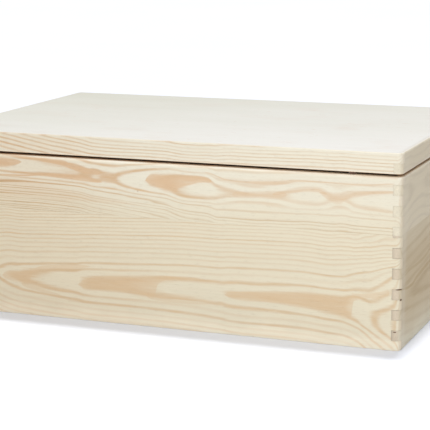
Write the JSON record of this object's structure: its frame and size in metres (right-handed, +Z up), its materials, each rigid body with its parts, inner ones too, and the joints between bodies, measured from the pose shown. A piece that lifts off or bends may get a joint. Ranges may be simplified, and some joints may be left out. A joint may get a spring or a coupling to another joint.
{
  "type": "toy box",
  "caption": "Raw pine box with finger-jointed corners and a full-width hinged lid that slotted steel stays hold open, for keeping toys in.",
  "frame": {"origin": "on the floor under the middle of the box", "axes": "+X to the right along the front, +Y to the back where the hinges are, +Z up"},
  "size_m": [0.6, 0.4048, 0.23],
  "materials": {
    "pine": "raw, sanded pine",
    "plywood": "raw, sanded plywood",
    "hinge_steel": "zinc-plated",
    "stay_steel": "zinc-plated",
    "screw_steel": "zinc-plated",
    "nylon": "moulded",
    "felt": "pressed felt"
  },
  "bodies": {
    "box": {"front_lower_board": "pine", "front_upper_board": "pine", "back_lower_board": "pine", "back_upper_board": "pine", "left_lower_board": "pine", "left_upper_board": "pine", "right_lower_board": "pine", "right_upper_board": "pine", "bottom_panel": "plywood", "bottom_brads": "screw_steel", "left_hinge_box_leaf": "hinge_steel", "left_hinge_pin": "hinge_steel", "right_hinge_box_leaf": "hinge_steel", "right_hinge_pin": "hinge_steel", "hinge_box_screws": "screw_steel", "stay_guide_screws": "screw_steel", "stay_guide_washers": "nylon", "lid_rest_pads": "felt"},
    "lid": {"lid_front_rail": "pine", "lid_back_rail": "pine", "lid_left_rail": "pine", "lid_right_rail": "pine", "lid_top_panel": "plywood", "left_hinge_lid_leaf": "hinge_steel", "right_hinge_lid_leaf": "hinge_steel", "hinge_lid_screws": "screw_steel", "stay_pivot_screws": "screw_steel", "stay_pivot_washers": "nylon"},
    "left_stay": {"left_stay_arm": "stay_steel"},
    "right_stay": {"right_stay_arm": "stay_steel"}
  },
  "joints": [
    {"name": "lid_hinge", "type": "hinge", "parent": "box", "child": "lid", "pos_m": [0, 0.2026, 0.20429], "axis": [-1, 0, 0], "range_deg": [0, 100]},
    {"name": "left_stay_swing", "type": "hinge", "parent": "lid", "child": "left_stay", "pos_m": [-0.2881, 0.10249, 0.215], "axis": [-1, 0, 0], "range_deg": [-50, 0]},
    {"name": "right_stay_swing", "type": "hinge", "parent": "lid", "child": "right_stay", "pos_m": [0.2881, 0.10249, 0.215], "axis": [-1, 0, 0], "range_deg": [-50, 0]}
  ],
  "couplings": [
    {"joint": "left_stay_swing", "follows": "lid_hinge", "ratio": -0.5},
    {"joint": "right_stay_swing", "follows": "lid_hinge", "ratio": -0.5}
  ]
}
